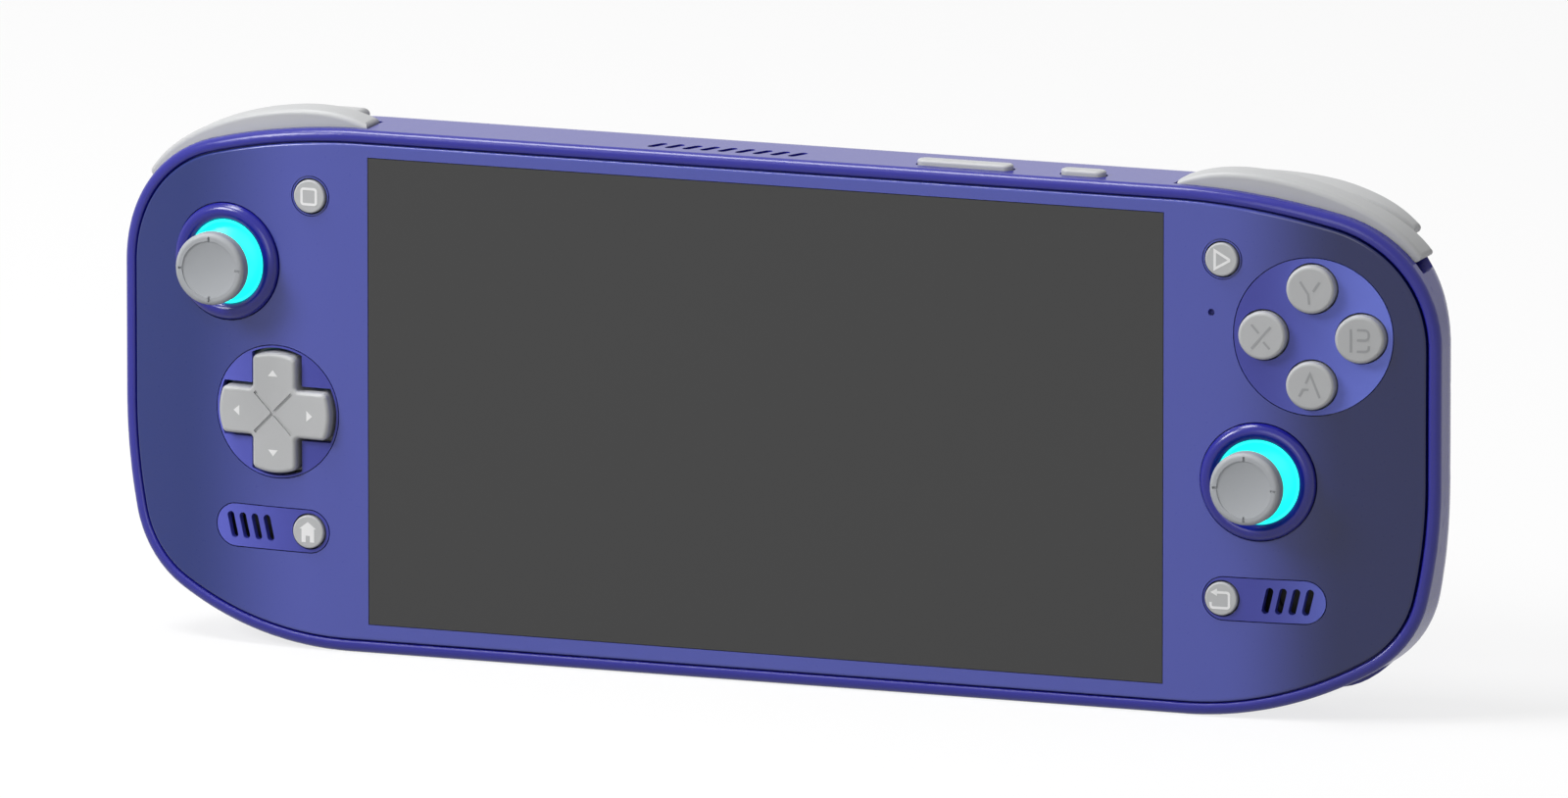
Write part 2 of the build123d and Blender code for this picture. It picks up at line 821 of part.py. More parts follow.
# Round plates and speaker plates, flush in the panel
with BuildPart() as dpad_plate:
    add(curved_disc(0, panel_thick, dpad_x, dpad_z, dpad_plate_radius))
    with BuildSketch(face_plane(-overrun, dpad_x, dpad_z)):
        Circle(dpad_reach + dpad_play)
        Rectangle(dpad_arm + 2 * dpad_play, 2 * dpad_plate_radius, mode=Mode.INTERSECT)
        with BuildSketch(mode=Mode.PRIVATE) as level_arm:
            Circle(dpad_reach + dpad_play)
            Rectangle(2 * dpad_plate_radius, dpad_arm + 2 * dpad_play, mode=Mode.INTERSECT)
        add(level_arm.sketch)
    extrude(amount=-far, mode=Mode.SUBTRACT)
save(dpad_plate.part, "dpad_plate")

with BuildPart() as abxy_plate:
    add(curved_disc(0, panel_thick, cluster_x, cluster_z, cluster_radius))
    with BuildSketch(face_plane(-overrun)):
        with Locations(*action_keys.values()):
            Circle(action_radius + button_play)
    extrude(amount=-far, mode=Mode.SUBTRACT)
save(abxy_plate.part, "abxy_plate")

for side, name, key_x in ((-1, "left", home_x), (1, "right", back_x)):
    with BuildPart() as speaker_plate:
        extrude(face_plan(0, panel_thick), amount=body_height)
        with BuildSketch(face_plane(-overrun)):
            with Locations((side * pill_x, lower_key_z)):
                SlotOverall(pill_length, pill_width)
            with Locations((key_x, lower_key_z)):
                Circle(small_radius + button_play, mode=Mode.SUBTRACT)
            with Locations((side * slot_middle, lower_key_z)):
                with GridLocations(slot_pitch, 0, slot_count, 1):
                    SlotOverall(slot_length, slot_width, rotation=90 - side * slot_lean, mode=Mode.SUBTRACT)
        extrude(amount=-far, mode=Mode.INTERSECT)
    save(speaker_plate.part, f"{name}_speaker_plate")

# Sticks: a collar in the panel, a lit ring, and a cap and dome on a gimbal
for name, (x, z) in stick_places.items():
    skin = skin_plane(x, z)
    pivot = place(stick_pivot, x, z)
    crest_radius = (collar_radius + collar_bore) / 2
    with BuildPart() as collar:
        with BuildSketch(section(skin)):
            with BuildLine():
                ThreePointArc((collar_bore, collar_lip), (crest_radius, collar_crest), (collar_radius, 0))
                Polyline(
                    (collar_radius, 0),
                    (collar_radius, -collar_foot),
                    (collar_bore, -collar_foot),
                    (collar_bore, collar_lip),
                )
            make_face()
        revolve(axis=Axis(skin.origin, skin.z_dir))
        with Locations(pivot):
            Sphere(dome_radius + fit_gap, mode=Mode.SUBTRACT)
    save(collar.part, f"{name}_collar")

    with BuildPart() as light_ring:
        with BuildSketch(skin.offset(collar_lip - light_drop)):
            Circle(collar_bore - light_gap)
            Circle(light_bore, mode=Mode.SUBTRACT)
        extrude(amount=-light_thick)
        with Locations(pivot):
            Sphere(dome_radius + fit_gap, mode=Mode.SUBTRACT)
    save(light_ring.part, f"{name}_light_ring")

    # The dome hides the gimbal and tips with the cap
    with BuildPart() as dome:
        with BuildSketch(section(face_plane(stick_pivot, x, z))):
            with BuildLine():
                reach = radians(dome_reach)
                outer = (dome_radius * sin(reach), dome_radius * cos(reach))
                inner_radius = dome_radius - dome_thick
                inner = (inner_radius * sin(reach), inner_radius * cos(reach))
                RadiusArc((0, dome_radius), outer, dome_radius)
                Line(outer, inner)
                RadiusArc(inner, (0, inner_radius), -inner_radius)
                Line((0, inner_radius), (0, dome_radius))
            make_face()
        revolve(axis=Axis(pivot, (0, -1, 0)))
        with BuildSketch(face_plane(0, x, z)):
            Circle(neck_radius + run_gap)
        extrude(amount=-stick_pivot, mode=Mode.SUBTRACT)
    save(dome.part, f"{name}_stick_dome")

    # Cap: its dished top, a fine rim with four ticks, and the neck under it
    flange_front = stick_pivot - sqrt((dome_radius - dome_thick) ** 2 - neck_flange**2) + part_gap
    with BuildPart() as cap:
        with BuildSketch(face_plane(cap_height - stick_proud, x, z)):
            Circle(cap_radius)
        extrude(amount=cap_height)
        fillet(cap.edges().group_by(Axis.Y)[0], cap_round)
        fillet(cap.edges().group_by(Axis.Y)[-1], cap_round / 2)
        dish_edge = cap_radius - cap_round - cap_rim
        dish_radius = (dish_edge**2 + cap_dish**2) / (2 * cap_dish)
        with BuildPart(mode=Mode.PRIVATE) as dish:
            with Locations(place(cap_step + cap_dish - stick_proud - dish_radius, x, z)):
                Sphere(dish_radius)
            with BuildSketch(face_plane(-stick_proud, x, z)):
                Circle(dish_edge)
            extrude(amount=-cap_step - cap_dish, mode=Mode.INTERSECT)
        add(dish.part, mode=Mode.SUBTRACT)
        with BuildSketch(face_plane(-stick_proud, x, z)):
            with PolarLocations(cap_radius - cap_round - cap_rim / 2, 4):
                Rectangle(cap_tick_length, cap_tick_width)
        extrude(amount=-cap_tick_depth, mode=Mode.SUBTRACT)
        with BuildSketch(face_plane(cap_height - stick_proud, x, z)):
            Circle(neck_radius)
        extrude(amount=cap_height - stick_proud - flange_front - neck_flange_thick)
        with BuildSketch(face_plane(flange_front, x, z)):
            Circle(neck_flange)
        extrude(amount=-neck_flange_thick)
        with BuildSketch(face_plane(stick_pivot, x, z)):
            Circle(shaft_radius + run_gap)
        extrude(amount=stick_pivot + shaft_top + shaft_tip_gap, mode=Mode.SUBTRACT)
    save(cap.part, f"{name}_stick_cap")

    with BuildPart() as shaft:
        with Locations(pivot):
            Sphere(hub_radius)
        with BuildSketch(face_plane(stick_pivot, x, z)):
            Circle(shaft_radius)
        extrude(amount=stick_pivot + shaft_top)
        with BuildSketch(Plane.XY.offset(screen_z + z)):
            with Locations((x, face_y + stick_pivot)):
                Circle(shaft_pin)
        extrude(amount=gimbal_radius - fit_gap, both=True)
    save(shaft.part, f"{name}_stick_shaft")

    with BuildPart() as gimbal:
        with BuildSketch(face_plane(stick_pivot, x, z)):
            Circle(gimbal_radius)
        extrude(amount=gimbal_thick / 2, both=True)
        with BuildSketch(Plane.YZ.offset(x)):
            with Locations((face_y + stick_pivot, screen_z + z)):
                Circle(gimbal_pin)
        extrude(amount=base_size / 2 - part_gap, both=True)
        with BuildSketch(face_plane(stick_pivot, x, z)):
            Circle(gimbal_bore)
        extrude(amount=gimbal_thick, both=True, mode=Mode.SUBTRACT)
        with BuildSketch(Plane.XY.offset(screen_z + z)):
            with Locations((x, face_y + stick_pivot)):
                Circle(shaft_pin + run_gap)
        extrude(amount=base_size, both=True, mode=Mode.SUBTRACT)
    save(gimbal.part, f"{name}_gimbal")

    with BuildPart() as base:
        with BuildSketch(face_plane(base_front, x, z)):
            RectangleRounded(base_size, base_size, base_round)
        extrude(amount=base_front - base_back)
        with BuildSketch(face_plane(board_back, x, z)):
            Rectangle(base_flange_width, base_flange_height)
        extrude(amount=-board_thick)
        with BuildSketch(face_plane(base_front, x, z)):
            Rectangle(base_size - 2 * base_wall, base_size - 2 * base_wall)
        extrude(amount=base_front - base_back + base_floor, mode=Mode.SUBTRACT)
        with BuildSketch(Plane.YZ.offset(x)):
            with Locations((face_y + stick_pivot, screen_z + z)):
                Circle(gimbal_pin + run_gap)
        extrude(amount=base_size, both=True, mode=Mode.SUBTRACT)
    save(base.part, f"{name}_stick_base")

# Direction pad: a cross on a ball, with a flange under the panel
dpad_pivot_depth = sheet_front - dpad_ball - run_gap
with BuildPart() as dpad_pivot:
    with Locations(place(dpad_pivot_depth, dpad_x, dpad_z)):
        Sphere(dpad_ball)
save(dpad_pivot.part, "dpad_pivot")

dpad_skin = skin_plane(dpad_x, dpad_z)
with BuildPart() as dpad_cross:
    with BuildSketch(face_plane(-overrun - dpad_proud, dpad_x, dpad_z)):
        Rectangle(dpad_arm, 2 * dpad_reach)
        Rectangle(2 * dpad_reach, dpad_arm)
        inner_corners = [v for v in vertices() if abs(v.X) < dpad_arm and abs(v.Y) < dpad_arm]
        fillet(inner_corners, dpad_inner_round)
        Circle(dpad_reach, mode=Mode.INTERSECT)
        fillet([v for v in vertices() if sqrt(v.X**2 + v.Y**2) > dpad_reach - part_gap], dpad_end_round)
    extrude(amount=-stick_pivot)
    with BuildSketch(dpad_skin.offset(dpad_proud)):
        Circle(2 * dpad_reach)
    extrude(amount=-dpad_proud - dpad_flange_depth - part_gap, mode=Mode.INTERSECT)
    fillet(dpad_cross.faces().sort_by(Axis.Y)[0].edges(), dpad_edge_round)
    with BuildSketch(dpad_skin.offset(dpad_proud)):
        for turn in (45, -45):
            Rectangle(dpad_groove_length, dpad_groove, rotation=turn)
    extrude(amount=-dpad_groove_depth, mode=Mode.SUBTRACT)
    with BuildSketch(dpad_skin.offset(-dpad_flange_depth)):
        Circle(dpad_flange)
    extrude(amount=-dpad_flange_thick)
    with BuildSketch(face_plane(dpad_pivot_depth + dpad_socket_reach, dpad_x, dpad_z)):
        Circle(dpad_stem)
    extrude(amount=dpad_pivot_depth + dpad_socket_reach - dpad_flange_depth - dpad_flange_thick)
    with Locations(place(dpad_pivot_depth, dpad_x, dpad_z)):
        Sphere(dpad_ball + run_gap, mode=Mode.SUBTRACT)
save(dpad_cross.part, "dpad_cross")

# Round buttons: a cap through its opening, a flange behind and a stem to the contact sheet
button_flange_front = seam_depth + fit_gap
stem_end = sheet_front - button_travel - part_gap
for keys, radius, proud, rounding in (
    (action_keys, action_radius, action_proud, action_round),
    (small_keys, small_radius, small_proud, small_round),
):
    for name, (x, z) in keys.items():
        skin = skin_plane(x, z)
        with BuildPart() as button:
            with BuildSketch(face_plane(-overrun - proud, x, z)):
                Circle(radius)
            extrude(amount=-stick_pivot)
            with BuildSketch(skin.offset(proud)):
                Circle(2 * radius)
            extrude(amount=-proud - button_flange_front - part_gap, mode=Mode.INTERSECT)
            fillet(button.faces().sort_by(Axis.Y)[0].edges(), rounding)
            with BuildSketch(skin.offset(-button_flange_front)):
                Circle(radius + button_flange)
            extrude(amount=-button_flange_thick)
            with BuildSketch(face_plane(stem_end, x, z)):
                Circle(button_stem)
            extrude(amount=stem_end - drop(x) - button_flange_front - part_gap)
        save(button.part, name)

# Bumpers and triggers, each on its own pin
right_bumper = shoulder_form(bumper_start, bumper_floor, bumper_inset, bumper_proud_shares, bumper_start_proud)
with BuildPart(mode=Mode.PRIVATE) as bumper_form:
    add(right_bumper)
    extrude(face_plan(seam_depth + fit_gap, bumper_back), amount=body_height + 2 * bumper_proud, mode=Mode.INTERSECT)
    with BuildSketch(face_plane(0, bumper_pin_x, upper_rise - bumper_pin_drop)):
        Circle(bumper_pin_radius + run_gap)
    extrude(amount=-far, mode=Mode.SUBTRACT)
    fillet(bumper_form.faces().filter_by(GeomType.EXTRUSION).sort_by(SortBy.AREA)[-1].edges(), bumper_round)
with BuildPart(mode=Mode.PRIVATE) as bumper_pin:
    with BuildSketch(face_plane(seam_depth - pin_seat, bumper_pin_x, upper_rise - bumper_pin_drop)):
        Circle(bumper_pin_radius)
    extrude(amount=seam_depth - bumper_back - fit_gap - 2 * pin_seat)

with BuildPart(mode=Mode.PRIVATE) as trigger_form:
    add(shoulder_form(trigger_start, trigger_floor, trigger_inset, trigger_proud_shares, trigger_start_proud))
    with BuildSketch(Plane.XY):
        turn = asin((half_body - flat_half) / (face_radius - trigger_front))
        with BuildLine():
            ThreePointArc(
                skin_point(0, trigger_front), skin_point(turn / 2, trigger_front), skin_point(turn, trigger_front)
            )
            Line(skin_point(turn, trigger_front), (half_body, face_y + trigger_back_end))
            Line((half_body, face_y + trigger_back_end), (trigger_back_bend, face_y + trigger_back))
            Line((trigger_back_bend, face_y + trigger_back), (flat_half, face_y + trigger_back))
            Line((flat_half, face_y + trigger_back), skin_point(0, trigger_front))
        make_face()
    extrude(amount=body_height + 2 * bumper_proud, mode=Mode.INTERSECT)
    fillet(trigger_form.faces().filter_by(GeomType.EXTRUSION).sort_by(SortBy.AREA)[-1].edges(), trigger_round)
    with BuildSketch(trigger_axis.offset(trigger_start - trigger_pocket_start + run_gap)):
        Circle(knuckle_radius)
    extrude(amount=knuckle_lug_place - run_gap)
    with BuildSketch(trigger_axis.offset(knuckle_lug_place - part_gap)):
        Circle(knuckle_radius + fit_gap)
        Rectangle(
            2 * knuckle_radius + 2 * fit_gap, 4 * knuckle_radius, align=(Align.CENTER, Align.MAX)
        )
    extrude(amount=knuckle_lug_width + 2 * part_gap, mode=Mode.SUBTRACT)
    with BuildSketch(trigger_axis):
        Circle(trigger_pin_radius + run_gap)
    extrude(amount=trigger_pin_length, mode=Mode.SUBTRACT)
with BuildPart(mode=Mode.PRIVATE) as trigger_pin:
    with BuildSketch(trigger_axis.offset(-pin_seat)):
        Circle(trigger_pin_radius)
    extrude(amount=trigger_pin_length)

for side, name in ((-1, "left"), (1, "right")):
    for form, piece in (
        (bumper_form, "bumper"),
        (bumper_pin, "bumper_pin"),
        (trigger_form, "trigger"),
        (trigger_pin, "trigger_pin"),
    ):
        save(sided(form.part, side), f"{name}_{piece}")

# Contact sheets and key boards, one of each at both ends
for side, name in ((-1, "left"), (1, "right")):
    own_posts = [(x, z) for x, z in post_spots if x * side > 0]
    own_screws = [(x, z) for x, z in screw_spots if x * side > 0]
    inner_align = (Align.MIN if side > 0 else Align.MAX, Align.MIN)
    for piece, near, thick in (("key_sheet", sheet_front, sheet_thick), ("key_board", board_front, board_thick)):
        with BuildPart() as layer:
            with BuildSketch(face_plane(near)):
                with Locations((side * key_board_inner, -key_board_lower)):
                    Rectangle(
                        key_board_outer - key_board_inner, key_board_lower + key_board_upper, align=inner_align
                    )
                with Locations(*own_screws):
                    Circle(screw_post + fit_gap, mode=Mode.SUBTRACT)
                with Locations(stick_places[name]):
                    if piece == "key_sheet":
                        Circle(base_size / sqrt(2) + base_round, mode=Mode.SUBTRACT)
                    else:
                        Rectangle(base_size + part_gap, base_size + part_gap, mode=Mode.SUBTRACT)
                if piece == "key_sheet":
                    with Locations(*own_posts):
                        Circle(post_radius + fit_gap, mode=Mode.SUBTRACT)
            extrude(amount=-thick)
            extrude(outline(0, key_board_inset), amount=-far, mode=Mode.INTERSECT)
        save(layer.part, f"{name}_{piece}")
    with BuildPart() as speaker:
        with BuildSketch(face_plane(speaker_front, side * slot_middle, lower_key_z)):
            RectangleRounded(speaker_length, speaker_height, base_round)
        extrude(amount=speaker_front - sheet_front)
        with BuildSketch(face_plane(speaker_front, side * slot_middle, lower_key_z)):
            Circle(speaker_height / 2 - base_wall)
        extrude(amount=-base_round, mode=Mode.SUBTRACT)
    save(speaker.part, f"{name}_speaker")

# Main board with its chip and the switch under the power button
with BuildPart() as main_board:
    with BuildSketch(face_plane(main_front, 0, main_lower)):
        Rectangle(main_width, main_upper - main_lower, align=(Align.CENTER, Align.MIN))
    extrude(amount=-board_thick)
    with BuildSketch(face_plane(main_front, (main_notch_left + main_notch_right) / 2, main_upper)):
        Rectangle(main_notch_right - main_notch_left, 2 * main_notch_drop)
    extrude(amount=-board_thick, mode=Mode.SUBTRACT)
    with BuildSketch(face_plane(main_back, fan_x, fan_z)):
        Rectangle(chip_size, chip_size)
    extrude(amount=-chip_thick)
save(main_board.part, "main_board")

with BuildPart() as battery:
    with BuildSketch(face_plane(floor_depth, 0, battery_z)):
        RectangleRounded(battery_width, battery_height, battery_round)
    extrude(amount=battery_thick)
save(battery.part, "battery")

# Fan: a housing open at the back and at the top, with a rotor on its axle
fan_front = floor_depth - fan_thick
fan_top = fan_z + fan_size / 2
with BuildPart() as fan_housing:
    with BuildSketch(face_plane(fan_front, fan_x, fan_z)):
        RectangleRounded(fan_size, fan_size, battery_round)
    extrude(amount=-fan_thick)
    with BuildSketch(face_plane(fan_front + fan_wall, fan_x, fan_z)):
        Circle(fan_cavity)
        Rectangle(2 * fan_inlet, fan_size, align=(Align.CENTER, Align.MIN))
    extrude(amount=2 * fan_wall - fan_thick, mode=Mode.SUBTRACT)
    with BuildSketch(face_plane(floor_depth, fan_x, fan_z)):
        Circle(fan_inlet)
    extrude(amount=2 * fan_wall, mode=Mode.SUBTRACT)
    with BuildSketch(face_plane(fan_front + fan_wall / 2, fan_x, fan_z)):
        Circle(rotor_axle)
    extrude(amount=fan_wall - fan_thick)
save(fan_housing.part, "fan_housing")

rotor_front = fan_front + fan_wall + fit_gap
with BuildPart() as fan_rotor:
    with BuildSketch(face_plane(rotor_front, fan_x, fan_z)):
        Circle(rotor_hub)
        with PolarLocations(0, blade_count):
            with Locations(Location((rotor_hub, 0), blade_lean)):
                Rectangle(rotor_radius - rotor_hub, blade_thick, align=(Align.MIN, Align.CENTER))
        Circle(rotor_axle + run_gap, mode=Mode.SUBTRACT)
    extrude(amount=-rotor_thick)
save(fan_rotor.part, "fan_rotor")

# Heat sink: a plate over the chip, and fins above the fan's outlet
fin_front = main_back + chip_thick
sink_width = fan_size - 2 * fan_wall
with BuildPart() as heat_sink:
    with BuildSketch(face_plane(fin_front, fan_x, fan_z - chip_size / 2)):
        Rectangle(sink_width, fan_top - fan_z + chip_size / 2 + sink_height, align=(Align.CENTER, Align.MIN))
    extrude(amount=fin_front - fan_front)
    with BuildSketch(face_plane(fan_front, fan_x, fan_top + part_gap)):
        with GridLocations((sink_width - fin_thick) / (fin_count - 1), 0, fin_count, 1):
            Rectangle(fin_thick, sink_height, align=(Align.CENTER, Align.MIN))
    extrude(amount=-fan_thick)
save(heat_sink.part, "heat_sink")

# Ports in the lower edge, soldered to the main board
with BuildPart() as usb_c_socket:
    with BuildSketch(Plane.XY.offset(screen_z + port_mouth)):
        with Locations((usb_x, face_y + usb_depth)):
            SlotOverall(usb_width, usb_height)
    extrude(amount=usb_length)
    with BuildSketch(Plane.XY.offset(screen_z + port_mouth)):
        with Locations((usb_x, face_y + usb_depth)):
            SlotOverall(usb_width - 2 * usb_shell, usb_height - 2 * usb_shell)
    extrude(amount=usb_length - usb_shell, mode=Mode.SUBTRACT)
    with BuildSketch(Plane.XY.offset(screen_z + port_mouth + usb_length)):
        with Locations((usb_x, face_y + usb_depth)):
            Rectangle(tongue_width, tongue_thick)
    extrude(amount=-tongue_length - usb_shell)
save(usb_c_socket.part, "usb_c_socket")

with BuildPart() as audio_jack:
    with BuildSketch(Plane.XY.offset(screen_z + port_mouth)):
        with Locations((jack_x, face_y + jack_depth)):
            Circle(jack_body / 2)
    extrude(amount=jack_length)
    with BuildSketch(Plane.XY.offset(wall + part_gap)):
        with Locations((jack_x, face_y + jack_depth)):
            Rectangle(jack_body, jack_body)
    extrude(amount=port_recess + jack_length - wall - part_gap)
    with BuildSketch(Plane.XY.offset(screen_z + port_mouth)):
        with Locations((jack_x, face_y + jack_depth)):
            Circle(jack_bore)
    extrude(amount=jack_length - usb_shell, mode=Mode.SUBTRACT)
save(audio_jack.part, "audio_jack")

with BuildPart() as card_socket:
    with BuildSketch(Plane.XY.offset(wall + part_gap)):
        with Locations((card_x, face_y + card_depth)):
            Rectangle(card_width, card_thick)
    extrude(amount=card_length - wall)
    with BuildSketch(Plane.XY.offset(wall)):
        with Locations((card_x, face_y + card_depth)):
            Rectangle(card_slot_width, card_slot_thick)
    extrude(amount=card_length - wall - card_thick, mode=Mode.SUBTRACT)
save(card_socket.part, "card_socket")

# Volume rocker on its own pin, and the power button with its stem
with BuildPart() as volume_rocker:
    add(key_bar(rocker_left, rocker_right, wall + rocker_drop, top_key_proud))
    fillet(volume_rocker.faces().sort_by(Axis.Z)[-1].edges(), top_key_round)
    with BuildSketch(face_plane(top_key_front, rocker_middle, upper_rise - wall - rocker_drop)):
        Rectangle(
            rocker_right - rocker_left + 2 * top_key_flange,
            top_key_flange_thick,
            align=(Align.CENTER, Align.MAX),
        )
    extrude(amount=-top_key_width)
    with BuildSketch(face_plane(top_key_back, rocker_middle, rocker_pin_z)):
        Circle(2 * rocker_pin_radius)
    extrude(amount=top_key_back - top_stem_front)
    with BuildSketch(face_plane(top_key_back, rocker_middle, rocker_pin_z)):
        Circle(rocker_pin_radius)
    extrude(amount=-rocker_pin_length)
save(volume_rocker.part, "volume_rocker")

with BuildPart() as power_button:
    add(key_bar(power_left, power_right, wall + fit_gap, top_key_proud))
    fillet(power_button.faces().sort_by(Axis.Z)[-1].edges(), top_key_round)
    with BuildSketch(face_plane(top_key_front, power_middle, upper_rise - wall - fit_gap)):
        Rectangle(
            power_right - power_left + 2 * top_key_flange, top_key_flange_thick, align=(Align.CENTER, Align.MAX)
        )
    extrude(amount=-top_key_width)
    with BuildSketch(face_plane(top_key_back, power_middle, upper_rise - wall - fit_gap)):
        Rectangle(top_key_width, main_notch_drop - power_travel - fit_gap, align=(Align.CENTER, Align.MAX))
    extrude(amount=top_key_back - top_stem_front)
save(power_button.part, "power_button")

# Six equal case screws
with BuildPart() as case_screws:
    with BuildSketch(face_plane(body_depth - screw_recess)):
        with Locations(*screw_spots):
            Circle(screw_head)
    extrude(amount=screw_head_thick)
    with BuildSketch(face_plane(body_depth - screw_recess)):
        with Locations(*screw_spots):
            Circle(screw_radius)
    extrude(amount=body_depth - screw_recess - screw_tip)
    with BuildSketch(face_plane(body_depth - screw_recess)):
        with Locations(*screw_spots):
            Rectangle(screw_head * 1.2, screw_drive)
            Rectangle(screw_drive, screw_head * 1.2)
    extrude(amount=screw_head_thick / 2, mode=Mode.SUBTRACT)
save(case_screws.part, "case_screws")
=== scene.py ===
import json
import math

import bpy
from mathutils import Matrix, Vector


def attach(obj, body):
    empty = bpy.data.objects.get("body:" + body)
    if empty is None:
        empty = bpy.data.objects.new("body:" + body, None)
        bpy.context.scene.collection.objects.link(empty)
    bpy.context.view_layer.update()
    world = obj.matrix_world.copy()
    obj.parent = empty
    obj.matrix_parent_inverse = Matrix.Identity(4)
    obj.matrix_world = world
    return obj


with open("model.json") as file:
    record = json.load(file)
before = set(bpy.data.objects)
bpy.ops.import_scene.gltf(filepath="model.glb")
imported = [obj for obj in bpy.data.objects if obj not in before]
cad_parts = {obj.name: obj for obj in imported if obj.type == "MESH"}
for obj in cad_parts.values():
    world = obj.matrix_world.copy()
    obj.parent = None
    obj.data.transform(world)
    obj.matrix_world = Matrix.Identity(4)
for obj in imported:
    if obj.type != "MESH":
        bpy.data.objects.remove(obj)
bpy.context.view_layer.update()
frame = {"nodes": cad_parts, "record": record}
nodes = frame["nodes"]

MM = 0.001
FACE_Y = -7.85
SCREEN_Z = 38.65
FLAT_HALF = 65.0
FACE_RADIUS = 117.0
NOISE_SCALE = 2600
ROUGH_SPREAD = 0.015
LEAST_ROUGH = 0.02
PANEL_COLOUR = (72, 80, 168)
PLATE_COLOUR = (58, 62, 152)
GLOW_COLOUR = (33, 255, 236)
GLOW_STRENGTH = 0.9
scene = bpy.context.scene
scene.view_settings.view_transform = "Standard"
scene.view_settings.look = "None"


def linear(red, green, blue):
    """A colour picked on a screen scale of 0 to 255, as Blender's linear colour."""
    out = []
    for value in (red, green, blue):
        v = value / 255
        out.append(v / 12.92 if v <= 0.04045 else ((v + 0.055) / 1.055) ** 2.4)
    return (*out, 1.0)


def new_material(name, colour, rough, **inputs):
    """A principled material with a faint noise in its roughness."""
    mat = bpy.data.materials.new(name)
    mat.use_nodes = True
    tree = mat.node_tree
    shader = tree.nodes["Principled BSDF"]
    shader.inputs["Base Color"].default_value = colour
    noise = tree.nodes.new("ShaderNodeTexNoise")
    noise.inputs["Scale"].default_value = NOISE_SCALE
    spread = tree.nodes.new("ShaderNodeMapRange")
    spread.inputs["To Min"].default_value = max(rough - ROUGH_SPREAD, LEAST_ROUGH)
    spread.inputs["To Max"].default_value = rough + ROUGH_SPREAD
    coords = tree.nodes.new("ShaderNodeTexCoord")
    tree.links.new(coords.outputs["Object"], noise.inputs["Vector"])
    tree.links.new(noise.outputs["Fac"], spread.inputs["Value"])
    tree.links.new(spread.outputs["Result"], shader.inputs["Roughness"])
    for key, value in inputs.items():
        shader.inputs[key.replace("_", " ")].default_value = value
    return mat


def painted_end_shading(mat, middle, left, right):
    """Base colour that turns to another at each end, painting shade or light onto ends where the light falls
    differently. An end is a colour, its start and where it is full.
    """
    tree = mat.node_tree
    coords = tree.nodes.new("ShaderNodeTexCoord")
    split = tree.nodes.new("ShaderNodeSeparateXYZ")
    tree.links.new(coords.outputs["Object"], split.inputs["Vector"])
    colour = None
    for end, begin, full in (left, right):
        ramp = tree.nodes.new("ShaderNodeMapRange")
        ramp.interpolation_type = "SMOOTHSTEP"
        ramp.inputs["From Min"].default_value = begin * MM
        ramp.inputs["From Max"].default_value = full * MM
        mix = tree.nodes.new("ShaderNodeMix")
        mix.data_type = "RGBA"
        mix.inputs["A"].default_value = middle
        mix.inputs["B"].default_value = end
        if colour:
            tree.links.new(colour, mix.inputs["A"])
        tree.links.new(split.outputs["X"], ramp.inputs["Value"])
        tree.links.new(ramp.outputs["Result"], mix.inputs["Factor"])
        colour = mix.outputs["Result"]
    tree.links.new(colour, tree.nodes["Principled BSDF"].inputs["Base Color"])


def background_rays(tree):
    """A factor that is 1 for camera, glossy and transmission rays."""
    rays = tree.nodes.new("ShaderNodeLightPath")
    factor = rays.outputs["Is Camera Ray"]
    for kind in ("Is Glossy Ray", "Is Transmission Ray"):
        either = tree.nodes.new("ShaderNodeMath")
        either.operation = "MAXIMUM"
        tree.links.new(factor, either.inputs[0])
        tree.links.new(rays.outputs[kind], either.inputs[1])
        factor = either.outputs["Value"]
    return factor


# Finishes, one for each slot of the record
shell = new_material("shell", linear(34, 33, 144), 0.26, Specular_IOR_Level=0.5)
panel = new_material(
    "panel", linear(*PANEL_COLOUR), 0.28, Specular_IOR_Level=0.15, Coat_Weight=0.8, Coat_Roughness=0.07
)
# Painted shade: the face's base colour turns navy towards the left and right ends, darker on the right,
# standing in for the dark reflections and shade on the curved ends
painted_end_shading(panel, linear(*PANEL_COLOUR), (linear(10, 36, 112), -70, -91), (linear(8, 22, 84), 70, 88))
plates = new_material("plates", linear(*PLATE_COLOUR), 0.42)
# Painted light: the plates' base colour turns lighter towards their ends, most on the right, to brighten
# ends that lie in shade
painted_end_shading(plates, linear(*PLATE_COLOUR), (linear(92, 98, 200), -66, -92), (linear(110, 124, 226), 74, 96))
collars = new_material("collars", linear(22, 22, 138), 0.2, Specular_IOR_Level=0.5)
keys = new_material("keys", linear(184, 185, 186), 0.42)
cap = new_material("stick caps", linear(165, 168, 172), 0.5)
marks = new_material("white marks", linear(238, 238, 238), 0.5)
letters = new_material("letters", linear(158, 159, 161), 0.5)
screen = new_material("screen glass", linear(66, 66, 66), 0.3, Specular_IOR_Level=0.25)
module = new_material("display module", linear(40, 40, 42), 0.4)
metal = new_material("metal", linear(170, 172, 178), 0.3, Metallic=1.0)
board = new_material("boards", linear(20, 84, 52), 0.45)
sheets = new_material("contact sheets", linear(120, 122, 126), 0.7)
black = new_material("black plastic", linear(24, 24, 26), 0.5)
sink = new_material("aluminium", linear(206, 208, 212), 0.32, Metallic=1.0)
glow = new_material("glow", linear(*GLOW_COLOUR), 0.4)
glow_shader = glow.node_tree.nodes["Principled BSDF"]
glow_shader.inputs["Emission Color"].default_value = linear(*GLOW_COLOUR)
glow_shader.inputs["Emission Strength"].default_value = GLOW_STRENGTH

